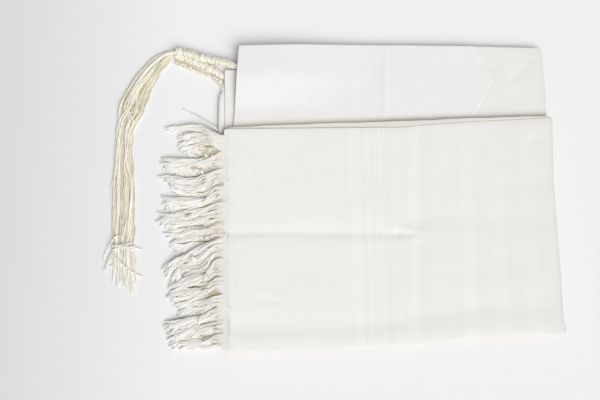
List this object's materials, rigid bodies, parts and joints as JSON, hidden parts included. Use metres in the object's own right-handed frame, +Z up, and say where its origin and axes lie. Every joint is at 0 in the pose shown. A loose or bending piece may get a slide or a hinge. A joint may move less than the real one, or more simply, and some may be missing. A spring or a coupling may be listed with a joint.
{
  "type": "folded prayer shawl",
  "caption": "White wool prayer shawl folded flat in a layered pile, its pointed neck band on show, a knotted edge fringe along one side and long corner fringes beside it.",
  "frame": {"origin": "middle of the folded shawl seen from above, fringes included, on the surface it lies on", "axes": "+X along the pile's long side, away from the fringes; +Y towards the neck edge; +Z up"},
  "size_m": [0.6402, 0.4479, 0.0172],
  "materials": {
    "shawl_cloth": "matt worsted wool weave",
    "neck_band_cloth": "ribbed silk with a faint sheen",
    "fringe_yarn": "twisted wool yarn",
    "corner_strings": "spun wool strings"
  },
  "bodies": {
    "root": {"folded_layers": "shawl_cloth", "front_panel": "shawl_cloth", "neck_panel": "shawl_cloth", "neck_band": "neck_band_cloth", "corner_panel": "shawl_cloth", "rolled_fold": "shawl_cloth", "fringe_upper": "fringe_yarn", "fringe_lower": "fringe_yarn", "tzitzit_upper": "corner_strings", "tzitzit_lower": "corner_strings"}
  },
  "joints": []
}
